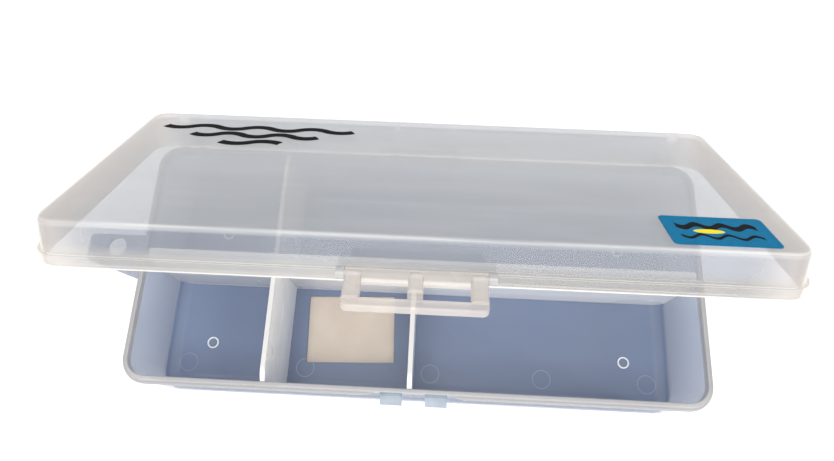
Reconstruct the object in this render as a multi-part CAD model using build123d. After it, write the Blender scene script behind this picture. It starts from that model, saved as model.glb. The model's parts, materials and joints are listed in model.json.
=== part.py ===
"""Clear moulded tackle box: a compartment tray, a hinged lid and a flip-up snap latch.

The frame is +X to the right, -Y to the front, +Z up, in millimetres. The origin is the middle of
the tray's underside. The lid and latch are drawn closed and then turned to their half-open rest.
"""

from build123d import *
import math
import os

# Tray
TRAY_WIDTH = 230.0
TRAY_DEPTH = 100.0
TRAY_HEIGHT = 45.0
CORNER_RADIUS = 9.0
WALL = 1.8
FLOOR = 1.6
FLOOR_FILLET = 6.0
UNDERSIDE_FILLET = 2.0
RIM_ROUND = 0.5
BEAD_OUT = 1.2
BEAD_LOW = 40.4
BEAD_HIGH = 42.4
BEAD_DRAFT = 0.6
BEAD_GAP = 15.0
BEAD_TAPER = 4.5
BEAD_CLEAR = 1.0

# The long partition, which reaches up into the lid, and the lower cross dividers
PARTITION_TOP = 54.5
CROSS_TOP = 46.5
PARTITION_THICK = 1.6
CROSS_THICK = 1.8
CROSS_LEFT_X = -59.0
CROSS_CENTRE_X = -1.8
CROSS_END_INSET = 4.2
PARTITION_END_INSET = 4.0
DIVIDER_RIM_DROP = 0.8
FRONT_SHOULDER_RADIUS = 6.0
BACK_SHOULDER_RADIUS = 4.0
PARTITION_SHOULDER_RADIUS = 3.0

# Floor details
RING_X = 94.0
RING_Y = (-28.3, 24.5)
RING_OUTER = 2.6
RING_INNER = 2.0
RING_HEIGHT = 0.7
EJECTOR_X = (-104.0, -50.4, 6.6, 56.9, 104.0)
EJECTOR_Y = -37.5
EJECTOR_RADIUS = 4.0
EJECTOR_DEPTH = 0.2

# Paper label in a shallow pocket in the underside
LABEL_WIDTH = 40.0
LABEL_DEPTH = 31.0
LABEL_X = -30.8
LABEL_Y = -18.8
LABEL_THICK = 0.15
LABEL_TURN_DEG = 2.3
LABEL_LIFT = 0.1
POCKET_DEPTH = LABEL_LIFT + LABEL_THICK
POCKET_MARGIN = 0.6

# Hanging tab on the left wall, straight at the back and slanting at the front
TAB_LENGTH = 23.0
TAB_BACK = 8.8
TAB_TIP_FRONT = -2.4
TAB_ROOT_FRONT = -9.8
TAB_THICK = 2.2
TAB_TOP = TRAY_HEIGHT - 0.6
TAB_CORNER = 2.0
TAB_HOLE_RADIUS = 4.0
TAB_HOLE_OUT = 11.5
TAB_HOLE_Y = 3.8
TAB_STEP_LENGTH = 4.0
TAB_STEP_RISE = 0.3

# Catches on the front wall, which the latch's windows snap over
CATCH_X = 8.7
CATCH_WIDTH = 8.5
CATCH_OUT = 4.4
CATCH_TOP = TRAY_HEIGHT - 1.0
CATCH_LIP = 1.2
CATCH_NOSE = TRAY_HEIGHT - 3.2
CATCH_LOW = TRAY_HEIGHT - 5.3
CATCH_ROUND = 0.5

# Lid
LID_HEIGHT = 15.5
LID_SIDE_OUT = BEAD_OUT
LID_GAP = 0.2
LID_BAND = 4.0
LID_BAND_STEP = 0.8
LID_TOP_INSET_SIDE = 3.2
LID_TOP_INSET_FRONT = 1.5
LID_WALL = 1.6
LID_TOP_CORNER = 6.0
LID_EDGE_RADIUS = 2.0
LID_INNER_RADIUS = 1.2
LID_ANGLE = 42.4

# Lid hinge
HINGE_OUT = 2.8
HINGE_RISE = 1.5
HINGE_PIN_RADIUS = 1.0
HINGE_CLEARANCE = 0.06
HINGE_BARREL_RADIUS = 2.2
HINGE_LUG_WIDTH = 2.4
HINGE_SIDE_GAP = 0.3
HINGE_SPANS = {"left": (-104.4, -99.5), "centre": (-11.8, 11.8), "right": (99.5, 104.4)}
LUG_ROOT_HIGH = TRAY_HEIGHT - 2.0
LUG_ROOT_LOW = TRAY_HEIGHT - 9.0
LUG_LEAN_DEG = 20.0
LUG_INNER_STEP = 0.8
KNUCKLE_ROOT_RISE = 0.6
KNUCKLE_LEAN = 0.6
KNUCKLE_TOP_DROP = 0.1
SLOT_HEIGHT = 3.0
SLOT_DEPTH = 5.0
CENTRE_SLOT_WIDTH = 1.4

# Latch
LATCH_OUT = 2.2
LATCH_RISE = 4.4
LATCH_WIDTH = 41.0
LATCH_LENGTH = 14.0
LATCH_PLATE_OUT = 0.9
LATCH_PLATE_IN = 0.7
LATCH_PLATE_TOP = 2.7
WINDOW_NEAR = 3.8
WINDOW_FAR = 10.1
WINDOW_TO_GRIP = 0.8
HOOD_BORE = 1.32
GRIP_EXTRA = 0.8
GRIP_CORNER = 2.0
GRIP_EDGE_ROUND = 0.6
END_POST_WIDTH = 5.0
CENTRE_POST_WIDTH = 4.4
END_POST_FOOT = WINDOW_FAR + WINDOW_TO_GRIP
CENTRE_POST_FOOT = 7.6
POST_OUT = 1.4
POST_ROUND = 1.2
ROD_RADIUS = 1.0
ROD_CLEARANCE = 0.06
KNUCKLE_RADIUS = 1.9
LATCH_LUG_GAP = 0.35
LATCH_LUG_WIDTH = 2.4
LATCH_LUG_RISE = 0.4
LATCH_ANGLE = 78.0

# Printed motif and sticker on the lid's top
PRINT_THICK = 0.12
PRINT_LEFT = -103.0
PRINT_RIGHT = -28.5
PRINT_FROM_BACK = 17.6
PRINT_PITCH = 7.4
PRINT_LINE = 3.3
PRINT_WAVE = 1.5
PRINT_WAVE_LENGTH = 21.0
PRINT_SHRINK = 13.0
PRINT_ROWS = 3
STICKER_WIDTH = 31.2
STICKER_DEPTH = 17.6
STICKER_X = 88.6
STICKER_FROM_BACK = 87.6
STICKER_CORNER = 1.6
STICKER_THICK = 0.15

HALF_WIDTH = TRAY_WIDTH / 2
HALF_DEPTH = TRAY_DEPTH / 2
HINGE_Y = HALF_DEPTH + HINGE_OUT
HINGE_Z = TRAY_HEIGHT + HINGE_RISE
LATCH_Y = -HALF_DEPTH - LATCH_OUT
LATCH_Z = TRAY_HEIGHT + LATCH_RISE
LID_TOP = TRAY_HEIGHT + LID_HEIGHT
OVERSHOOT = 20.0
CUT = 1.0

HINGE_AXIS = Axis((0, HINGE_Y, HINGE_Z), (-1, 0, 0))
LATCH_AXIS = Axis((0, LATCH_Y, LATCH_Z), (-1, 0, 0))


def block(x, y, z):
    """A box from three (low, high) spans."""
    size = [high - low for low, high in (x, y, z)]
    middle = [(high + low) / 2 for low, high in (x, y, z)]
    return Pos(*middle) * Box(*size)


def rod(x, y, z, radius):
    """A cylinder along X over the span x."""
    return Pos((x[0] + x[1]) / 2, y, z) * Rot(0, 90, 0) * Cylinder(radius, x[1] - x[0])


def rounded_prism(width, depth, radius, low, high):
    return Pos(0, 0, low) * extrude(RectangleRounded(width, depth, radius), high - low)


def side_profile(points, x):
    """A closed outline of (y, z) points, as thick as the span x."""
    face = make_face(Plane.YZ * Polyline(*points, close=True))
    return Pos(x[0], 0, 0) * extrude(face, x[1] - x[0], dir=(1, 0, 0))


def front_profile(points, y):
    """A closed outline of (x, z) points, as thick as the span y."""
    face = make_face(Plane.XZ * Polyline(*points, close=True))
    return Pos(0, y[1], 0) * extrude(face, y[1] - y[0], dir=(0, -1, 0))


def lowest_edges(solid):
    return solid.faces().sort_by(Axis.Z)[0].edges()


def highest_edges(solid):
    return solid.faces().sort_by(Axis.Z)[-1].edges()


def tray_cavity():
    """The space inside the walls, with the moulding's soft floor corners, up past the dividers."""
    width = TRAY_WIDTH - 2 * WALL
    depth = TRAY_DEPTH - 2 * WALL
    space = rounded_prism(width, depth, CORNER_RADIUS - WALL, FLOOR, PARTITION_TOP + OVERSHOOT)
    return fillet(lowest_edges(space), FLOOR_FILLET)


def rim_bead():
    """The stiffening bead under the rim. It stops short of the catches, the tab and the hinges."""
    low_width = TRAY_WIDTH + 2 * BEAD_OUT
    low_depth = TRAY_DEPTH + 2 * BEAD_OUT
    bead = rounded_prism(low_width, low_depth, CORNER_RADIUS + BEAD_OUT, BEAD_LOW, BEAD_HIGH)
    bead = chamfer(highest_edges(bead), BEAD_DRAFT)
    bead -= rounded_prism(TRAY_WIDTH, TRAY_DEPTH, CORNER_RADIUS, BEAD_LOW - CUT, BEAD_HIGH + CUT)
    front_gap = [
        (-BEAD_GAP, -HALF_DEPTH),
        (BEAD_GAP, -HALF_DEPTH),
        (BEAD_GAP + BEAD_TAPER, -HALF_DEPTH - BEAD_OUT),
        (BEAD_GAP + BEAD_TAPER, -HALF_DEPTH - 2 * BEAD_OUT),
        (-BEAD_GAP - BEAD_TAPER, -HALF_DEPTH - 2 * BEAD_OUT),
        (-BEAD_GAP - BEAD_TAPER, -HALF_DEPTH - BEAD_OUT),
    ]
    gap = make_face(Polyline(*front_gap, close=True))
    bead -= Pos(0, 0, BEAD_LOW - CUT) * extrude(gap, BEAD_HIGH - BEAD_LOW + 2 * CUT)
    height = (BEAD_LOW - CUT, BEAD_HIGH + CUT)
    tab_span = (TAB_ROOT_FRONT - BEAD_CLEAR, TAB_BACK + BEAD_CLEAR)
    bead -= block((-HALF_WIDTH - OVERSHOOT, -HALF_WIDTH + CUT), tab_span, height)
    for low, high in HINGE_SPANS.values():
        margin = HINGE_SIDE_GAP + HINGE_LUG_WIDTH + BEAD_CLEAR
        span = (low - margin, high + margin)
        bead -= block(span, (HALF_DEPTH - CUT, HALF_DEPTH + OVERSHOOT), height)
    return bead


def make_tray_shell():
    shell = rounded_prism(TRAY_WIDTH, TRAY_DEPTH, CORNER_RADIUS, 0, TRAY_HEIGHT)
    shell = fillet(lowest_edges(shell), UNDERSIDE_FILLET)
    shell -= tray_cavity()
    shell = fillet(highest_edges(shell), RIM_ROUND)
    shell += rim_bead()
    pocket_width = LABEL_WIDTH + 2 * POCKET_MARGIN
    pocket_depth = LABEL_DEPTH + 2 * POCKET_MARGIN
    pocket = Box(pocket_width, pocket_depth, 2 * POCKET_DEPTH)
    shell -= Pos(LABEL_X, LABEL_Y, 0) * Rot(0, 0, LABEL_TURN_DEG) * pocket
    for x in EJECTOR_X:
        mark = Cylinder(EJECTOR_RADIUS, 2 * EJECTOR_DEPTH)
        shell -= Pos(x, EJECTOR_Y, FLOOR) * mark
    return shell


def make_long_partition():
    """The wall from end to end, with its lower corners following the floor's soft corners."""
    inside = HALF_WIDTH - WALL
    above = HALF_WIDTH - PARTITION_END_INSET - WALL
    rim = TRAY_HEIGHT - DIVIDER_RIM_DROP
    half = [(inside, 0), (inside, rim), (above, rim + PARTITION_END_INSET), (above, PARTITION_TOP)]
    outline = half + [(-x, z) for x, z in reversed(half)]
    span = (-PARTITION_THICK / 2, PARTITION_THICK / 2)
    wall = front_profile(outline, span)
    corners = wall.edges().filter_by(Axis.Y).group_by(Axis.Z)[-1]
    wall = fillet(corners, PARTITION_SHOULDER_RADIUS)
    return wall & tray_cavity()


def make_cross_divider(x, front, back):
    """A wall across one row, whose top falls with a round shoulder to just below the rim."""
    inside = HALF_DEPTH - WALL
    above = HALF_DEPTH - WALL - CROSS_END_INSET
    rim = TRAY_HEIGHT - DIVIDER_RIM_DROP
    half = [(inside, 0), (inside, rim), (above, CROSS_TOP)]
    outline = half + [(-y, z) for y, z in reversed(half)]
    wall = side_profile(outline, (x - CROSS_THICK / 2, x + CROSS_THICK / 2))
    shoulders = wall.edges().filter_by(Axis.X).group_by(Axis.Z)[-1].sort_by(Axis.Y)
    wall = fillet(shoulders[0], FRONT_SHOULDER_RADIUS)
    shoulders = wall.edges().filter_by(Axis.X).group_by(Axis.Z)[-1].sort_by(Axis.Y)
    wall = fillet(shoulders[-1], BACK_SHOULDER_RADIUS)
    wall &= tray_cavity()
    return wall & block((x - CUT, x + CUT), (front, back), (0, CROSS_TOP + CUT))


def make_catch(x):
    outline = [
        (-HALF_DEPTH, CATCH_TOP),
        (-HALF_DEPTH - CATCH_LIP, CATCH_TOP),
        (-HALF_DEPTH - CATCH_OUT, CATCH_NOSE),
        (-HALF_DEPTH - CATCH_OUT, CATCH_LOW),
        (-HALF_DEPTH, CATCH_LOW),
    ]
    catch = side_profile(outline, (x - CATCH_WIDTH / 2, x + CATCH_WIDTH / 2))
    nose = catch.edges().filter_by(Axis.X).group_by(Axis.Y)[0]
    return fillet(nose, CATCH_ROUND)


def make_hang_tab():
    tip = -HALF_WIDTH - TAB_LENGTH
    outline = [
        (-HALF_WIDTH, TAB_BACK),
        (tip, TAB_BACK),
        (tip, TAB_TIP_FRONT),
        (-HALF_WIDTH, TAB_ROOT_FRONT),
    ]
    plate = make_face(Polyline(*outline, close=True))
    tab = Pos(0, 0, TAB_TOP - TAB_THICK) * extrude(plate, TAB_THICK)
    corners = tab.edges().filter_by(Axis.Z).group_by(Axis.X)[0]
    tab = fillet(corners, TAB_CORNER)
    step_x = (-HALF_WIDTH - TAB_STEP_LENGTH, -HALF_WIDTH)
    full = Pos(0, 0, TAB_TOP) * extrude(plate, TAB_STEP_RISE)
    tab += full & block(step_x, (TAB_ROOT_FRONT, TAB_BACK), (TAB_TOP, TAB_TOP + TAB_STEP_RISE))
    hole = Cylinder(TAB_HOLE_RADIUS, TAB_THICK + 2 * CUT)
    return tab - Pos(-HALF_WIDTH - TAB_HOLE_OUT, TAB_HOLE_Y, TAB_TOP - TAB_THICK / 2) * hole


def make_floor_rings():
    ring = Cylinder(RING_OUTER, RING_HEIGHT) - Cylinder(RING_INNER, RING_HEIGHT + CUT)
    places = [(x, y) for x in (-RING_X, RING_X) for y in RING_Y]
    return Compound([Pos(x, y, FLOOR + RING_HEIGHT / 2) * ring for x, y in places])


def make_base_label():
    paper = Box(LABEL_WIDTH, LABEL_DEPTH, LABEL_THICK)
    middle = LABEL_LIFT + LABEL_THICK / 2
    return Pos(LABEL_X, LABEL_Y, middle) * Rot(0, 0, LABEL_TURN_DEG) * paper


def lug_spans(span):
    """The two lugs that stand one each side of a lid knuckle."""
    low, high = span
    inner_low = low - HINGE_SIDE_GAP
    inner_high = high + HINGE_SIDE_GAP
    return [(inner_low - HINGE_LUG_WIDTH, inner_low), (inner_high, inner_high + HINGE_LUG_WIDTH)]


def make_hinge_lugs(span):
    lean = HINGE_BARREL_RADIUS * math.cos(math.radians(LUG_LEAN_DEG))
    drop = HINGE_BARREL_RADIUS * math.sin(math.radians(LUG_LEAN_DEG))
    outline = [
        (HALF_DEPTH, LUG_ROOT_LOW),
        (HINGE_Y + lean, HINGE_Z - drop),
        (HINGE_Y, HINGE_Z),
        (HINGE_Y - lean + LUG_INNER_STEP, HINGE_Z - drop - LUG_INNER_STEP),
        (HALF_DEPTH, LUG_ROOT_HIGH),
    ]
    lugs = []
    for x in lug_spans(span):
        lug = side_profile(outline, x) + rod(x, HINGE_Y, HINGE_Z, HINGE_BARREL_RADIUS)
        hole = rod((x[0] - CUT, x[1] + CUT), HINGE_Y, HINGE_Z, HINGE_PIN_RADIUS)
        lugs.append(lug - hole)
    return Compound(lugs)


def make_hinge_pin(span):
    ends = lug_spans(span)
    return rod((ends[0][0], ends[1][1]), HINGE_Y, HINGE_Z, HINGE_PIN_RADIUS)


def lid_body(inset, low, top):
    """The lid's outside, or with an inset its inside, as a band and a leaning skirt above it."""
    width = TRAY_WIDTH + 2 * LID_SIDE_OUT - 2 * inset
    depth = TRAY_DEPTH - 2 * inset
    radius = CORNER_RADIUS - inset
    band_top = TRAY_HEIGHT + LID_BAND
    band = rounded_prism(width, depth, radius, low, band_top)
    step = 2 * LID_BAND_STEP
    foot = RectangleRounded(width - step, depth - step, radius - LID_BAND_STEP)
    share = (top - band_top) / (LID_TOP - band_top)
    lean_x = 2 * (LID_BAND_STEP + (LID_TOP_INSET_SIDE - LID_BAND_STEP) * share)
    lean_y = 2 * (LID_BAND_STEP + (LID_TOP_INSET_FRONT - LID_BAND_STEP) * share)
    head = RectangleRounded(width - lean_x, depth - lean_y, LID_TOP_CORNER - inset)
    skirt = loft([Pos(0, 0, band_top) * foot, Pos(0, 0, top) * head], ruled=True)
    rounding = LID_INNER_RADIUS if inset else LID_EDGE_RADIUS
    skirt = fillet(highest_edges(skirt), rounding)
    return band + skirt


def lid_slots():
    """Small moulding slots at the back of the lid's top, above the hinge stations."""
    y = (HALF_DEPTH - SLOT_DEPTH, HALF_DEPTH + CUT)
    z = (LID_TOP - LID_WALL - SLOT_HEIGHT, LID_TOP - LID_WALL)
    slots = [block(HINGE_SPANS["left"], y, z), block(HINGE_SPANS["right"], y, z)]
    for x in HINGE_SPANS["centre"]:
        slots.append(block((x - CENTRE_SLOT_WIDTH / 2, x + CENTRE_SLOT_WIDTH / 2), y, z))
    return slots


def make_lid_shell():
    low = TRAY_HEIGHT + LID_GAP
    shell = lid_body(0, low, LID_TOP) - lid_body(LID_WALL, low - CUT, LID_TOP - LID_WALL)
    for slot in lid_slots():
        shell -= slot
    return shell


def make_lid_knuckle(span):
    low = TRAY_HEIGHT + LID_GAP + KNUCKLE_ROOT_RISE
    band_top = TRAY_HEIGHT + LID_BAND
    outline = [
        (HALF_DEPTH, low),
        (HINGE_Y, HINGE_Z),
        (HINGE_Y + KNUCKLE_LEAN, HINGE_Z + HINGE_BARREL_RADIUS - KNUCKLE_TOP_DROP),
        (HALF_DEPTH, band_top),
    ]
    knuckle = side_profile(outline, span) + rod(span, HINGE_Y, HINGE_Z, HINGE_BARREL_RADIUS)
    bore = HINGE_PIN_RADIUS + HINGE_CLEARANCE
    return knuckle - rod((span[0] - CUT, span[1] + CUT), HINGE_Y, HINGE_Z, bore)


def latch_post_spans():
    half = LATCH_WIDTH / 2
    centre = CENTRE_POST_WIDTH / 2
    return {
        "left": (-half, -half + END_POST_WIDTH),
        "centre": (-centre, centre),
        "right": (half - END_POST_WIDTH, half),
    }


def latch_lug_spans():
    """The two lugs on the lid, outside the latch's ends."""
    end = LATCH_WIDTH / 2 + LATCH_LUG_GAP
    return [(-end - LATCH_LUG_WIDTH, -end), (end, end + LATCH_LUG_WIDTH)]


def make_latch_lugs():
    low = TRAY_HEIGHT + LID_GAP + LATCH_LUG_RISE
    outline = [
        (-HALF_DEPTH, low),
        (LATCH_Y, LATCH_Z - KNUCKLE_RADIUS),
        (LATCH_Y, LATCH_Z),
        (-HALF_DEPTH, TRAY_HEIGHT + LID_BAND),
    ]
    lugs = []
    for x in latch_lug_spans():
        lug = side_profile(outline, x) + rod(x, LATCH_Y, LATCH_Z, KNUCKLE_RADIUS)
        lugs.append(lug - rod((x[0] - CUT, x[1] + CUT), LATCH_Y, LATCH_Z, ROD_RADIUS))
    return Compound(lugs)


def make_latch_rod():
    left, right = latch_lug_spans()
    return rod((left[0], right[1]), LATCH_Y, LATCH_Z, ROD_RADIUS)


def make_latch_hood(span):
    """The flap's top strip between two posts. It passes outside the rod and curls over it."""
    face = LATCH_Y - KNUCKLE_RADIUS
    back = LATCH_Y - HOOD_BORE
    low = LATCH_Z - WINDOW_NEAR
    strip = block(span, (face, back), (low, LATCH_Z))
    foot = block(span, (face, LATCH_Y - LATCH_PLATE_OUT), (low, LATCH_Z - LATCH_PLATE_TOP))
    round_bar = rod(span, LATCH_Y, LATCH_Z, KNUCKLE_RADIUS)
    tube = round_bar - rod((span[0] - CUT, span[1] + CUT), LATCH_Y, LATCH_Z, HOOD_BORE)
    curl = tube & block(span, (face, LATCH_Y), (LATCH_Z, LATCH_Z + KNUCKLE_RADIUS))
    return strip + foot + curl


def make_latch_flap():
    """The plate with its two windows and a thicker grip, hanging straight down from the rod."""
    half = LATCH_WIDTH / 2
    outside = LATCH_Y - LATCH_PLATE_OUT
    inside = LATCH_Y + LATCH_PLATE_IN
    top = LATCH_Z - LATCH_PLATE_TOP
    bottom = LATCH_Z - LATCH_LENGTH
    grip_top = LATCH_Z - WINDOW_FAR - WINDOW_TO_GRIP
    flap = block((-half, half), (outside, inside), (bottom, top))
    grip = block((-half, half), (outside - GRIP_EXTRA, inside), (bottom, grip_top))
    flap += grip
    corners = flap.edges().filter_by(Axis.Y).group_by(Axis.Z)[0]
    flap = fillet(corners, GRIP_CORNER)
    brow = flap.edges().filter_by(Axis.X).group_by(Axis.Y)[0]
    flap = fillet(brow, GRIP_EDGE_ROUND)
    spans = latch_post_spans()
    height = (LATCH_Z - WINDOW_FAR, LATCH_Z - WINDOW_NEAR)
    through = (outside - 2 * CUT, inside + 2 * CUT)
    for gap in ((spans["left"][1], spans["centre"][0]), (spans["centre"][1], spans["right"][0])):
        flap -= block(gap, through, height)
        flap += make_latch_hood(gap)
    return flap


def make_latch_post(span, foot_drop):
    """A raised post on the flap's outside, whose top wraps the pivot rod as a knuckle."""
    outside = LATCH_Y - LATCH_PLATE_OUT
    inside = LATCH_Y + LATCH_PLATE_IN
    foot = LATCH_Z - foot_drop
    rib = block(span, (outside - POST_OUT, outside), (foot, LATCH_Z))
    crown = rib.edges().filter_by(Axis.Z).group_by(Axis.Y)[0]
    rib = fillet(crown, POST_ROUND)
    brow = rib.edges().filter_by(Axis.X).group_by(Axis.Z)[-1].sort_by(Axis.Y)[0]
    rib = fillet(brow, POST_ROUND)
    web = block(span, (outside, inside), (LATCH_Z - LATCH_PLATE_TOP, LATCH_Z))
    post = rib + web + rod(span, LATCH_Y, LATCH_Z, KNUCKLE_RADIUS)
    bore = ROD_RADIUS + ROD_CLEARANCE
    return post - rod((span[0] - CUT, span[1] + CUT), LATCH_Y, LATCH_Z, bore)


def ripple(left, right, y):
    """One printed water ripple: a wavy line of constant width, as half arcs that meet smoothly."""
    count = max(2, round((right - left) / PRINT_WAVE_LENGTH * 2))
    step = (right - left) / count
    pieces = []
    for i in range(count):
        start = (left + i * step, y)
        end = (left + (i + 1) * step, y)
        side = 1 if i % 2 else -1
        middle = (left + (i + 0.5) * step, y + side * PRINT_WAVE)
        pieces.append(ThreePointArc(start, middle, end))
    line = Wire(pieces)
    return extrude(trace(line, PRINT_LINE), PRINT_THICK)


def make_lid_print():
    rows = []
    for i in range(PRINT_ROWS):
        y = HALF_DEPTH - PRINT_FROM_BACK - i * PRINT_PITCH
        shrink = i * PRINT_SHRINK
        line = ripple(PRINT_LEFT + shrink, PRINT_RIGHT - shrink, y)
        rows += (Pos(0, 0, LID_TOP) * line).solids()
    return Compound(rows)


def make_lid_sticker():
    face = RectangleRounded(STICKER_WIDTH, STICKER_DEPTH, STICKER_CORNER)
    y = HALF_DEPTH - STICKER_FROM_BACK
    return Pos(STICKER_X, y, LID_TOP) * extrude(face, STICKER_THICK)


def tray_parts():
    back = HALF_DEPTH
    partition = PARTITION_THICK / 2
    parts = {
        "tray_shell": make_tray_shell(),
        "long_partition": make_long_partition(),
        "left_divider_front": make_cross_divider(CROSS_LEFT_X, -back, -partition),
        "left_divider_back": make_cross_divider(CROSS_LEFT_X, partition, back),
        "centre_divider_front": make_cross_divider(CROSS_CENTRE_X, -back, -partition),
        "left_catch": make_catch(-CATCH_X),
        "right_catch": make_catch(CATCH_X),
        "hang_tab": make_hang_tab(),
        "floor_rings": make_floor_rings(),
        "base_label": make_base_label(),
    }
    for side, span in HINGE_SPANS.items():
        parts[f"hinge_lugs_{side}"] = make_hinge_lugs(span)
        parts[f"hinge_pin_{side}"] = make_hinge_pin(span)
    return parts


def lid_parts():
    parts = {
        "lid_shell": make_lid_shell(),
        "latch_lugs": make_latch_lugs(),
        "latch_rod": make_latch_rod(),
        "lid_print": make_lid_print(),
        "lid_sticker": make_lid_sticker(),
    }
    for side, span in HINGE_SPANS.items():
        parts[f"lid_knuckle_{side}"] = make_lid_knuckle(span)
    return parts


def latch_parts():
    parts = {"latch_flap": make_latch_flap()}
    for side, span in latch_post_spans().items():
        foot = CENTRE_POST_FOOT if side == "centre" else END_POST_FOOT
        parts[f"latch_post_{side}"] = make_latch_post(span, foot)
    return parts


def main():
    os.makedirs("parts", exist_ok=True)
    nodes = tray_parts()
    for name, shape in lid_parts().items():
        nodes[name] = shape.rotate(HINGE_AXIS, LID_ANGLE)
    for name, shape in latch_parts().items():
        nodes[name] = shape.rotate(LATCH_AXIS, LATCH_ANGLE).rotate(HINGE_AXIS, LID_ANGLE)
    for name, shape in nodes.items():
        export_step(shape, f"parts/{name}.step")


main()
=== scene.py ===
"""Looks of a clear moulded tackle box with a half-open lid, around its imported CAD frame.

Lengths are in metres, in the CAD frame: +X to the right, -Y to the front, +Z up.
"""

import json
import math

import bpy
from mathutils import Matrix, Vector


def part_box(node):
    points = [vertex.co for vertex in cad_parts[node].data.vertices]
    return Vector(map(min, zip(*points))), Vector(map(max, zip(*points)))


MM = 0.001


def mm(*values):
    """Lengths given in millimetres, in metres."""
    return tuple(value * MM for value in values)


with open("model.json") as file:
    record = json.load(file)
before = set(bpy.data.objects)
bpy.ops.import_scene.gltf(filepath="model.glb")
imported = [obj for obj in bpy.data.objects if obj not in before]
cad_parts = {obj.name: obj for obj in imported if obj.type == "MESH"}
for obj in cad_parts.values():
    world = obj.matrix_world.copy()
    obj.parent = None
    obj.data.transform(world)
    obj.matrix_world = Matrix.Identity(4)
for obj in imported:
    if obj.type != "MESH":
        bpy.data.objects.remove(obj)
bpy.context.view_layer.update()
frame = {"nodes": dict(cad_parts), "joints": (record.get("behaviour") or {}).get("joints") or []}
nodes = frame["nodes"]
joints = {joint["name"]: joint for joint in frame["joints"]}

# Sizes of the tray and lid, the lid's as it lies when shut
BEAD_OUT = 1.2 * MM
HALF_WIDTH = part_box("tray_shell")[1].x - BEAD_OUT
HALF_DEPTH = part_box("tray_shell")[1].y - BEAD_OUT
CORNER = 9.0 * MM
CROSS_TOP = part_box("left_divider_front")[1].z
PARTITION_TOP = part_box("long_partition")[1].z
LID_TOP = 60.5 * MM
HINGE = Vector(joints["lid_hinge"]["pos_m"])
LID_ANGLE = -math.radians(joints["lid_hinge"]["range_deg"][0])
EJECTORS_X = mm(-104.0, -50.4, 6.6, 56.9, 104.0)
EJECTORS_Y = -37.5 * MM
EJECTOR_RING = mm(3.85, 4.15)
LABEL_SIZE = mm(40.0, 31.0)
LABEL_TURN = math.radians(2.3)

# Spans over which the tray's look changes: along X, up the walls, and out from the corner centres
FLOOR_ENDS = mm(86.0, 113.0)
WALL_RISE = mm(2.0, 42.0)
FLOOR_TO_WALL = mm(2.0, 14.0)
FLOOR_TO_WALL_ALPHA = mm(2.0, 8.0)
ABOVE_LABEL = mm(2.4, 2.8)
RIM_RISE = mm(40.8, 42.0)
OUTSIDE_FACE = (CORNER - 0.9 * MM, CORNER - 0.3 * MM)
BEAD_FACE = (CORNER + 0.2 * MM, CORNER + 0.9 * MM)

# Spans on the dividers, up from the tray's underside
# Height of the painted highlight along the fillet at the foot of each divider
DIVIDER_FOOT_HIGHLIGHT = mm(2.7, 3.1)
CROSS_RISE = mm(6.0, 36.0)
CROSS_EDGE = (CROSS_TOP - 0.5 * MM, CROSS_TOP - 0.1 * MM)
# Painted light and shade on the long partition's face: its tone changes up the face, and low down
# from left to right
PARTITION_SHADE_RISE = mm(12.0, 40.0)
PARTITION_EDGE = (PARTITION_TOP - 1.2 * MM, PARTITION_TOP - 0.6 * MM)
PARTITION_SHADE_LEFT_TO_RIGHT = mm(-80.0, 20.0)

# Spans on the shut lid: front to back, left to right, towards its ends, and up its skirt
PANEL_DEPTH = mm(-50.0, 50.0)
# The band's change of tone from left to right is painted shade
BAND_SHADE_LEFT_TO_RIGHT = mm(-60.0, 40.0)
# Towards its ends the lid turns creamier: partly its thicker plastic, partly a painted glow in its
# end walls
TOWARDS_ENDS = mm(92.0, 111.0)
END_WALLS = mm(110.5, 112.5)
LIP_RISE = mm(45.3, 46.0)
BAND_RISE = mm(48.6, 53.5)
LEDGE = mm(48.9, 49.2)
# Height of the painted highlight along the lid's front fold
FOLD_HIGHLIGHT = (LID_TOP - 1.0 * MM, LID_TOP - 0.4 * MM)
SKIRT_RISE = (LID_TOP - 2.6 * MM, LID_TOP - 1.2 * MM)

# The sticker's drawing, in places from its middle
RIPPLE_LENGTH = 7.8 * MM
RIPPLE_HEIGHT = 1.1 * MM
RIPPLES = (mm(2.6, 1.45), mm(-3.6, 0.75))
RIPPLE_ENDS = mm(11.8, 12.2)
BAR_PLACE = mm(-3.0, -0.5)
BAR_HALF = mm(4.6, 1.3)

# How solid each face of the clear and milky plastic looks, from 0 to 1
ALPHA = {
    "tray_floor": 0.8,
    "tray_wall": 0.64,
    "tray_outside": 0.4,
    "tray_rim": 0.85,
    "over_label": 0.03,
    "divider": 0.84,
    "divider_edge": 0.92,
    "lid_panel": 0.57,
    "lid_skirt": 0.55,
    "lid_band": 0.6,
    "lid_ends": 0.78,
    "lid_edge": 0.85,
    "latch": 0.5,
}

# Surfaces: roughness from its lowest to its highest, gloss over it, orange peel, and index
ROUGH = {
    "tray": (0.32, 0.42),
    "divider": (0.22, 0.34),
    "detail": (0.2, 0.3),
    "lid": (0.28, 0.38),
    "latch": (0.24, 0.36),
    "ink": (0.5, 0.7),
    "sticker": (0.5, 0.64),
    "paper": (0.75, 0.95),
}
STUDIO_ROUGHNESS = 0.8
BODY_COAT = 0.35
LATCH_COAT = 0.5
COAT_ROUGHNESS = 0.12
PEEL_SCALE = 900.0
PEEL_DEPTH = 0.002 * MM
PLASTIC_IOR = 1.49
INK_IOR = 1.12
STICKER_IOR = 1.15

# Sockets of the Mix node, whose names repeat: colours a and b, their result, and numbers a and b
COLOUR_A, COLOUR_B, COLOUR_OUT = 6, 7, 2
NUMBER_A, NUMBER_B = 2, 3

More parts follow.
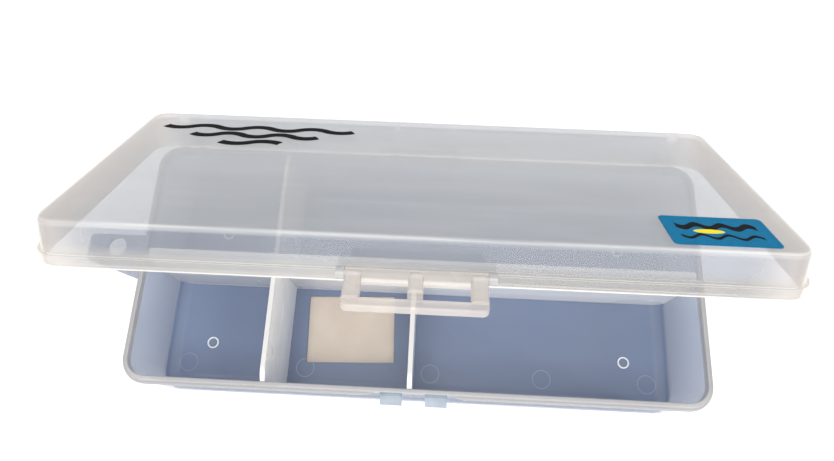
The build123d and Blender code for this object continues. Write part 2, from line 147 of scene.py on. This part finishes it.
# Pieces that look alike
SIDES = ("left", "centre", "right")
HINGE_NODES = [f"hinge_{part}_{side}" for part in ("lugs", "pin") for side in SIDES]
KNUCKLE_NODES = [f"lid_knuckle_{side}" for side in SIDES]
LATCH_NODES = ["latch_flap", *(f"latch_post_{side}" for side in SIDES)]
LATCH_PIVOT_NODES = ["latch_lugs", "latch_rod"]

# Camera, in metres and degrees
CAMERA_PLACE = (0.00266, -0.06958, 0.29897)
CAMERA_DOWN = 71.37
CAMERA_YAW = -4.81
CAMERA_ROLL = 2.01
CAMERA_LENS = 27.75
CAMERA_SHIFT = (0.0079, 0.0009)
CAMERA_NEAR = 0.005

# Lights: name, place, target, width and height, watts
LIGHTS = (
    ("top_softbox", (0.0, -0.42, 1.45), (0, -0.02, 0.02), (0.8, 0.6), 11.5),
    ("key_softbox", (-0.45, -0.85, 1.05), (0, 0, 0.05), (0.9, 0.9), 4.0),
    ("front_softbox", (0.15, -1.2, 0.42), (0, 0, 0.04), (1.0, 0.5), 6.0),
    ("fill_softbox", (0.8, -0.5, 1.1), (0, 0, 0.05), (1.0, 1.0), 4.5),
    ("back_softbox", (-0.3, 0.55, 1.2), (0, 0, 0.1), (0.5, 0.4), 2.0),
)
AIR_COLOUR = (0.98, 0.985, 1.0, 1.0)
AIR_STRENGTH = 0.78
FLOOR_HALF = 3.0
CLEAR_LAYERS = 24


def srgb(red, green, blue):
    """A linear colour from 0 to 255 display values."""
    linear = []
    for value in (red, green, blue):
        share = value / 255
        low = share <= 0.04045
        linear.append(share / 12.92 if low else ((share + 0.055) / 1.055) ** 2.4)
    return (*linear, 1.0)


class Graph:
    """A material's nodes, with short calls for the sums that its masks and colours need."""

    def __init__(self, name):
        self.material = bpy.data.materials.new(name)
        self.material.use_nodes = True
        self.tree = self.material.node_tree
        self.tree.nodes.clear()
        output = self.tree.nodes.new("ShaderNodeOutputMaterial")
        self.shader = self.tree.nodes.new("ShaderNodeBsdfPrincipled")
        self.tree.links.new(self.shader.outputs[0], output.inputs["Surface"])
        coordinates = self.tree.nodes.new("ShaderNodeTexCoord")
        self.place = coordinates.outputs["Object"]

    def feed(self, socket, value):
        """Sets a socket, or links it if the value is another node's output."""
        if isinstance(value, bpy.types.NodeSocket):
            self.tree.links.new(value, socket)
        else:
            socket.default_value = value

    def math(self, operation, a, b=0.0):
        node = self.tree.nodes.new("ShaderNodeMath")
        node.operation = operation
        self.feed(node.inputs[0], a)
        self.feed(node.inputs[1], b)
        return node.outputs[0]

    def step(self, value, low, high):
        """0 below low and 1 above high, with a smooth change between them."""
        node = self.tree.nodes.new("ShaderNodeMapRange")
        node.interpolation_type = "SMOOTHSTEP"
        self.feed(node.inputs["Value"], value)
        node.inputs["From Min"].default_value = low
        node.inputs["From Max"].default_value = high
        return node.outputs["Result"]

    def below(self, value, low, high):
        """1 below low and 0 above high, with a smooth change between them."""
        return self.math("SUBTRACT", 1.0, self.step(value, low, high))

    def between(self, value, low, high, soft):
        """1 between low and high, with soft edges."""
        rise = self.step(value, low - soft, low + soft)
        fall = self.step(value, high - soft, high + soft)
        return self.math("SUBTRACT", rise, fall)

    def span(self, value, low, high):
        """Value, from 0 to 1, as a number from low to high."""
        node = self.tree.nodes.new("ShaderNodeMapRange")
        self.feed(node.inputs["Value"], value)
        node.inputs["To Min"].default_value = low
        node.inputs["To Max"].default_value = high
        return node.outputs["Result"]

    def mix(self, share, a, b):
        """A colour that goes from a to b as share goes from 0 to 1."""
        node = self.tree.nodes.new("ShaderNodeMix")
        node.data_type = "RGBA"
        self.feed(node.inputs[0], share)
        self.feed(node.inputs[COLOUR_A], a)
        self.feed(node.inputs[COLOUR_B], b)
        return node.outputs[COLOUR_OUT]

    def blend(self, share, a, b):
        """A number that goes from a to b as share goes from 0 to 1."""
        node = self.tree.nodes.new("ShaderNodeMix")
        self.feed(node.inputs[0], share)
        self.feed(node.inputs[NUMBER_A], a)
        self.feed(node.inputs[NUMBER_B], b)
        return node.outputs[0]

    def split(self, vector):
        node = self.tree.nodes.new("ShaderNodeSeparateXYZ")
        self.feed(node.inputs[0], vector)
        return node.outputs

    def turned(self, vector, middle, angle, axis):
        """Coordinates seen from middle, with a turn about one axis taken back."""
        node = self.tree.nodes.new("ShaderNodeMapping")
        node.vector_type = "TEXTURE"
        self.feed(node.inputs["Vector"], vector)
        node.inputs["Location"].default_value = middle
        node.inputs["Rotation"].default_value[axis] = angle
        return node.outputs[0]

    def stretched(self, vector, scale):
        node = self.tree.nodes.new("ShaderNodeMapping")
        self.feed(node.inputs["Vector"], vector)
        node.inputs["Scale"].default_value = scale
        return node.outputs[0]

    def noise(self, vector, scale, detail=2.0, rough=0.5):
        node = self.tree.nodes.new("ShaderNodeTexNoise")
        self.feed(node.inputs["Vector"], vector)
        node.inputs["Scale"].default_value = scale
        node.inputs["Detail"].default_value = detail
        node.inputs["Roughness"].default_value = rough
        return node.outputs[0]

    def patches(self, vector, scale, detail=2.0, low=0.3, high=0.7):
        """Soft patches, from 0 to 1. They are softer the further low and high are apart."""
        return self.step(self.noise(vector, scale, detail), low, high)

    def past(self, value, reach):
        """How far the value's size is past reach, or 0 within it."""
        return self.math("MAXIMUM", self.math("SUBTRACT", self.math("ABSOLUTE", value), reach), 0.0)

    def square_sum(self, a, b):
        return self.math("ADD", self.math("POWER", a, 2.0), self.math("POWER", b, 2.0))

    def bump(self, height, depth):
        node = self.tree.nodes.new("ShaderNodeBump")
        node.inputs["Distance"].default_value = depth
        self.feed(node.inputs["Height"], height)
        return node.outputs[0]

    def finish(self, colour, roughness, normal, alpha=1.0, ior=PLASTIC_IOR, coat=0.0):
        self.feed(self.shader.inputs["Base Color"], colour)
        self.feed(self.shader.inputs["Roughness"], roughness)
        self.feed(self.shader.inputs["Normal"], normal)
        self.feed(self.shader.inputs["Alpha"], alpha)
        self.shader.inputs["IOR"].default_value = ior
        self.shader.inputs["Coat Weight"].default_value = coat
        self.shader.inputs["Coat Roughness"].default_value = COAT_ROUGHNESS
        return self.material


def peeled(graph, vector):
    """The faint orange peel of a moulded polypropylene face, as a normal."""
    return graph.bump(graph.noise(vector, PEEL_SCALE), PEEL_DEPTH)


def smudged(graph, vector, surface):
    """Roughness that varies softly with handling."""
    smear = graph.noise(vector, 24.0, 2.0, 0.4)
    return graph.span(graph.step(smear, 0.2, 0.8), *ROUGH[surface])


def streaked(graph, face, colour, stretch, most):
    """A face's colour with the flow streaks of its moulding mixed in."""
    streak = graph.noise(graph.stretched(graph.place, stretch), 130.0, 3.0)
    return graph.mix(graph.span(graph.step(streak, 0.35, 0.7), 0.0, most), face, colour)


def corner_distance(graph, x, y):
    """Distance from the inner corner centres: CORNER on the outside face, all the way round."""
    over_x = graph.past(x, HALF_WIDTH - CORNER)
    over_y = graph.past(y, HALF_DEPTH - CORNER)
    return graph.math("SQRT", graph.square_sum(over_x, over_y))


def ejector_rings(graph, x, y):
    """The thin pale circles that the mould's ejector pins leave in the floor."""
    total = 0.0
    for middle in EJECTORS_X:
        across = graph.math("SUBTRACT", x, middle)
        along = graph.math("SUBTRACT", y, EJECTORS_Y)
        reach = graph.math("SQRT", graph.square_sum(across, along))
        ring = graph.between(reach, *EJECTOR_RING, 0.12 * MM)
        total = graph.math("MAXIMUM", ring, total)
    return total


def off_label(graph, z):
    """0 on the stretch of floor over the paper label, and 1 elsewhere."""
    low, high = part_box("base_label")
    middle = (low + high) / 2
    x, y, _ = graph.split(graph.turned(graph.place, (middle.x, middle.y, 0), LABEL_TURN, 2))
    gap_x = graph.math("SUBTRACT", graph.math("ABSOLUTE", x), LABEL_SIZE[0] / 2)
    gap_y = graph.math("SUBTRACT", graph.math("ABSOLUTE", y), LABEL_SIZE[1] / 2)
    beside = graph.step(graph.math("MAXIMUM", gap_x, gap_y), -0.2 * MM, 0.2 * MM)
    return graph.math("MAXIMUM", beside, graph.step(z, *ABOVE_LABEL))


def tray_material():
    """A blue-grey floor and walls, a clearer outside, a pale rim, and a window over the label."""
    g = Graph("tray_clear_plastic")
    x, y, z = g.split(g.place)
    edge = corner_distance(g, x, y)
    ends = g.step(g.math("ABSOLUTE", x), *FLOOR_ENDS)
    floor = g.mix(ends, srgb(101, 118, 150), srgb(132, 150, 181))
    floor = g.mix(g.patches(g.place, 9.0, low=0.2, high=0.8), floor, srgb(114, 126, 150))
    rings = g.math("MULTIPLY", ejector_rings(g, x, y), 0.3)
    floor = g.mix(rings, floor, srgb(220, 226, 236))
    wall = g.mix(g.step(z, *WALL_RISE), srgb(116, 136, 174), srgb(146, 164, 191))
    colour = g.mix(g.step(z, *FLOOR_TO_WALL), floor, wall)
    outside = g.step(edge, *OUTSIDE_FACE)
    colour = g.mix(outside, colour, srgb(156, 165, 182))
    pale = g.math("MAXIMUM", g.step(edge, *BEAD_FACE), g.step(z, *RIM_RISE))
    colour = g.mix(pale, colour, srgb(156, 154, 153))
    alpha = g.blend(g.step(z, *FLOOR_TO_WALL_ALPHA), ALPHA["tray_floor"], ALPHA["tray_wall"])
    alpha = g.blend(outside, alpha, ALPHA["tray_outside"])
    alpha = g.math("MULTIPLY", alpha, g.span(off_label(g, z), ALPHA["over_label"], 1.0))
    alpha = g.blend(pale, alpha, ALPHA["tray_rim"])
    return g.finish(colour, smudged(g, g.place, "tray"), peeled(g, g.place), alpha, coat=BODY_COAT)


def cross_divider_material():
    """Milky walls with a grey top edge, and a painted highlight along the fillet where they meet the
    floor.
    """
    g = Graph("divider_milky_plastic")
    z = g.split(g.place)[2]
    face = g.mix(g.step(z, *CROSS_RISE), srgb(250, 252, 255), srgb(252, 250, 246))
    face = streaked(g, face, srgb(246, 248, 252), (1.0, 1.0, 0.12), 0.5)
    # A painted highlight, pale and more solid, along the fillet at the foot
    foot_highlight = g.below(z, *DIVIDER_FOOT_HIGHLIGHT)
    top = g.step(z, *CROSS_EDGE)
    colour = g.mix(foot_highlight, face, srgb(255, 250, 242))
    colour = g.mix(top, colour, srgb(204, 202, 199))
    alpha = g.blend(g.math("MAXIMUM", top, foot_highlight), ALPHA["divider"], ALPHA["divider_edge"])
    return g.finish(colour, smudged(g, g.place, "divider"), peeled(g, g.place), alpha)


def partition_material():
    """The same milky plastic on the taller long partition, with painted light and shade on its face:
    greyer low down at its left, white low down at its right, and one grey higher up.
    """
    g = Graph("partition_milky_plastic")
    x, _, z = g.split(g.place)
    # Painted light and shade: the low face goes from grey at the left to white at the right, and
    # turns to one grey higher up
    shaded_low_face = g.mix(g.step(x, *PARTITION_SHADE_LEFT_TO_RIGHT), srgb(204, 205, 211), srgb(255, 255, 255))
    face = g.mix(g.step(z, *PARTITION_SHADE_RISE), shaded_low_face, srgb(240, 241, 241))
    face = streaked(g, face, srgb(226, 228, 233), (0.12, 1.0, 1.0), 0.4)
    # A pale top edge, and a painted highlight along the fillet at the foot
    pale = g.math("MAXIMUM", g.step(z, *PARTITION_EDGE), g.below(z, *DIVIDER_FOOT_HIGHLIGHT))
    colour = g.mix(pale, face, srgb(234, 230, 224))
    alpha = g.blend(pale, ALPHA["divider"], ALPHA["divider_edge"])
    return g.finish(colour, smudged(g, g.place, "divider"), peeled(g, g.place), alpha)


def detail_material(name, tint, shade, alpha):
    """Small clear mouldings, such as catches, lugs, pins, rings and the tab."""
    g = Graph(name)
    colour = g.mix(g.patches(g.place, 180.0, 3.0), tint, shade)
    return g.finish(colour, smudged(g, g.place, "detail"), peeled(g, g.place), alpha)


def shut_lid_places(graph):
    """Places as on the shut lid: the vector from the hinge, then x, y and z in the CAD frame."""
    closed = graph.turned(graph.place, HINGE, -LID_ANGLE, 0)
    x, y, z = graph.split(closed)
    return closed, x, graph.math("ADD", y, HINGE.y), graph.math("ADD", z, HINGE.z)


def lid_material():
    """A hazy panel with pale edges, a clearer skirt under it, and a milky band along the lip. The
    band carries painted shade from left to right, a painted highlight runs along the front fold, and
    the ends are creamier, partly as painted glow.
    """
    g = Graph("lid_clear_plastic")
    closed, x, y, z = shut_lid_places(g)
    cloud = g.patches(closed, 11.0, low=0.2, high=0.8)
    flow = g.patches(g.stretched(closed, (0.2, 1.0, 1.0)), 70.0, 3.0, 0.4, 0.75)
    panel = g.mix(g.step(y, *PANEL_DEPTH), srgb(157, 159, 161), srgb(174, 174, 175))
    panel = g.mix(g.span(cloud, 0.0, 0.3), panel, srgb(178, 179, 180))
    panel = g.mix(g.span(flow, 0.0, 0.25), panel, srgb(190, 191, 190))
    skirt = g.below(z, *SKIRT_RISE)
    band = g.below(z, *BAND_RISE)
    # Painted shade: the band darkens from its left to its right
    shaded_band_colour = g.mix(g.step(x, *BAND_SHADE_LEFT_TO_RIGHT), srgb(148, 147, 145), srgb(124, 122, 119))
    skirt_colour = g.mix(band, srgb(118, 122, 130), shaded_band_colour)
    colour = g.mix(skirt, panel, skirt_colour)
    reach = g.math("ABSOLUTE", x)
    # The ends turn creamier: partly the thicker plastic of the corners, and partly a painted glow of
    # the light passing through the end walls
    ends = g.step(reach, *END_WALLS)
    colour = g.mix(g.span(g.step(reach, *TOWARDS_ENDS), 0.0, 0.6), colour, srgb(194, 186, 179))
    colour = g.mix(ends, colour, srgb(208, 198, 187))
    # A painted highlight along the front fold, broken up along its length
    glint = g.patches(g.stretched(closed, (1.0, 0.0, 0.0)), 16.0, 1.0, 0.35, 0.6)
    fold_highlight = g.math("MULTIPLY", g.between(z, *FOLD_HIGHLIGHT, 0.15 * MM), g.span(glint, 0.1, 0.5))
    ledge = g.math("MULTIPLY", g.between(z, *LEDGE, 0.12 * MM), 0.6)
    # The pale lip and ledge lines, and the painted highlight along the fold
    pale = g.math("MAXIMUM", g.below(z, *LIP_RISE), g.math("MAXIMUM", fold_highlight, ledge))
    colour = g.mix(pale, colour, srgb(214, 210, 204))
    alpha = g.blend(skirt, ALPHA["lid_panel"], ALPHA["lid_skirt"])
    alpha = g.blend(band, alpha, ALPHA["lid_band"])
    alpha = g.blend(ends, alpha, ALPHA["lid_ends"])
    alpha = g.blend(g.math("MULTIPLY", pale, 0.8), alpha, ALPHA["lid_edge"])
    return g.finish(colour, smudged(g, closed, "lid"), peeled(g, closed), alpha, coat=BODY_COAT)


def latch_material():
    """Milky plastic, warmer than the lid's, with a gloss."""
    g = Graph("latch_milky_plastic")
    colour = g.mix(g.patches(g.place, 120.0, 3.0), srgb(194, 187, 180), srgb(188, 182, 176))
    rough = smudged(g, g.place, "latch")
    return g.finish(colour, rough, peeled(g, g.place), ALPHA["latch"], coat=LATCH_COAT)


def ink_material():
    """Matt black screen print, speckled like a dry ink film."""
    g = Graph("black_ink")
    speck = g.noise(g.place, 700.0, 3.0, 0.6)
    colour = g.mix(g.step(speck, 0.45, 0.75), srgb(4, 4, 6), srgb(17, 17, 21))
    return g.finish(colour, g.span(speck, *ROUGH["ink"]), g.bump(speck, 0.03 * MM), ior=INK_IOR)


def sticker_middle():
    """The sticker's middle, as it lies on the shut lid."""
    low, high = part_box("lid_sticker")
    closing = Matrix.Rotation(LID_ANGLE, 3, "X")
    return HINGE + closing @ ((low + high) / 2 - HINGE)


def sticker_material():
    """Blue vinyl with dark ripples and a yellow bar."""
    g = Graph("blue_sticker")
    closed, x, y, _ = shut_lid_places(g)
    middle = sticker_middle()
    across = g.math("SUBTRACT", x, middle.x)
    up = g.math("SUBTRACT", y, middle.y)
    grain = g.noise(closed, 500.0)
    colour = g.mix(g.step(grain, 0.3, 0.7), srgb(0, 99, 138), srgb(4, 106, 146))
    turns = g.math("MULTIPLY", across, 2 * math.pi / RIPPLE_LENGTH)
    wave = g.math("MULTIPLY", g.math("SINE", turns), RIPPLE_HEIGHT)
    inside = g.below(g.math("ABSOLUTE", across), *RIPPLE_ENDS)
    for height, half in RIPPLES:
        off = g.math("ABSOLUTE", g.math("SUBTRACT", g.math("SUBTRACT", up, height), wave))
        line = g.below(off, half - 0.12 * MM, half + 0.12 * MM)
        colour = g.mix(g.math("MULTIPLY", line, inside), colour, srgb(4, 6, 9))
    bar_x = g.math("DIVIDE", g.math("SUBTRACT", across, BAR_PLACE[0]), BAR_HALF[0])
    bar_y = g.math("DIVIDE", g.math("SUBTRACT", up, BAR_PLACE[1]), BAR_HALF[1])
    bar = g.below(g.square_sum(bar_x, bar_y), 0.9, 1.1)
    colour = g.mix(bar, colour, srgb(226, 208, 42))
    rough = g.span(grain, *ROUGH["sticker"])
    return g.finish(colour, rough, g.bump(grain, 0.01 * MM), ior=STICKER_IOR)


def paper_material():
    """Plain cream paper with its fibres."""
    g = Graph("label_paper")
    fibre = g.noise(g.stretched(g.place, (1.0, 2.5, 1.0)), 420.0, 4.0, 0.65)
    colour = g.mix(g.patches(g.place, 60.0), srgb(255, 243, 226), srgb(250, 234, 218))
    colour = g.mix(g.span(fibre, 0.0, 0.3), colour, srgb(228, 214, 198))
    return g.finish(colour, g.span(fibre, *ROUGH["paper"]), g.bump(fibre, 0.04 * MM))


def dress(material, *names):
    for name in names:
        mesh = nodes[name].data
        mesh.materials.clear()
        mesh.materials.append(material)


def dress_tray():
    detail = detail_material("tray_detail_plastic", srgb(176, 184, 198), srgb(160, 168, 184), 0.72)
    catch = detail_material("catch_plastic", srgb(146, 158, 168), srgb(130, 142, 153), 0.7)
    tab = detail_material("tab_plastic", srgb(140, 146, 162), srgb(128, 134, 150), 0.6)
    ring = detail_material("ring_plastic", srgb(250, 250, 248), srgb(238, 240, 242), 0.85)
    dress(tray_material(), "tray_shell")
    dress(partition_material(), "long_partition")
    dress(cross_divider_material(), "left_divider_front", "left_divider_back", "centre_divider_front")
    dress(catch, "left_catch", "right_catch")
    dress(detail, *HINGE_NODES)
    dress(tab, "hang_tab")
    dress(ring, "floor_rings")
    dress(paper_material(), "base_label")


def dress_lid():
    detail = detail_material("lid_detail_plastic", srgb(172, 170, 168), srgb(160, 160, 161), 0.6)
    dress(lid_material(), "lid_shell")
    dress(detail, *LATCH_PIVOT_NODES, *KNUCKLE_NODES)
    dress(ink_material(), "lid_print")
    dress(sticker_material(), "lid_sticker")
    dress(latch_material(), *LATCH_NODES)
    # The clear lid and its milky latch let the light through, so they cast no shadow
    for name in ("lid_shell", *LATCH_PIVOT_NODES, *LATCH_NODES):
        nodes[name].visible_shadow = False


def stage_floor():
    mesh = bpy.data.meshes.new("studio_floor")
    signs = ((-1, -1), (1, -1), (1, 1), (-1, 1))
    corners = [(x * FLOOR_HALF, y * FLOOR_HALF, 0) for x, y in signs]
    mesh.from_pydata(corners, [], [(0, 1, 2, 3)])
    floor = bpy.data.objects.new("studio_floor", mesh)
    bpy.context.collection.objects.link(floor)
    g = Graph("studio_floor")
    cloud = g.noise(g.place, 3.0)
    colour = g.mix(cloud, srgb(234, 235, 237), srgb(238, 238, 239))
    floor.data.materials.append(g.finish(colour, STUDIO_ROUGHNESS, g.bump(cloud, 0.1 * MM)))


def area_light(name, place, target, size, power):
    light = bpy.data.lights.new(name, "AREA")
    light.shape = "RECTANGLE"
    light.size, light.size_y = size
    light.energy = power
    lamp = bpy.data.objects.new(name, light)
    lamp.location = place
    lamp.rotation_euler = (Vector(target) - Vector(place)).to_track_quat("-Z", "Y").to_euler()
    bpy.context.collection.objects.link(lamp)


def studio():
    stage_floor()
    for light in LIGHTS:
        area_light(*light)
    world = bpy.data.worlds.new("studio_air")
    world.use_nodes = True
    air = world.node_tree.nodes["Background"]
    air.inputs["Color"].default_value = AIR_COLOUR
    air.inputs["Strength"].default_value = AIR_STRENGTH
    scene = bpy.context.scene
    scene.world = world
    scene.view_settings.view_transform = "Standard"
    scene.cycles.transparent_max_bounces = CLEAR_LAYERS


def camera():
    """A camera 30 cm up, over the box's front, that looks steeply down and slightly to the back."""
    down, yaw, roll = (math.radians(a) for a in (CAMERA_DOWN, CAMERA_YAW, CAMERA_ROLL))
    level = math.cos(down)
    forward = Vector((math.sin(yaw) * level, math.cos(yaw) * level, -math.sin(down)))
    right = Vector((math.cos(yaw), -math.sin(yaw), 0))
    below = forward.cross(right)
    across = math.cos(roll) * right + math.sin(roll) * below
    under = math.cos(roll) * below - math.sin(roll) * right
    turn = Matrix((across, -under, -forward)).transposed()
    lens = bpy.data.cameras.new("product_camera")
    lens.lens = CAMERA_LENS
    lens.shift_x, lens.shift_y = CAMERA_SHIFT
    lens.clip_start = CAMERA_NEAR
    view = bpy.data.objects.new("product_camera", lens)
    view.matrix_world = Matrix.Translation(CAMERA_PLACE) @ turn.to_4x4()
    bpy.context.collection.objects.link(view)
    bpy.context.scene.camera = view


dress_tray()
dress_lid()
studio()
camera()
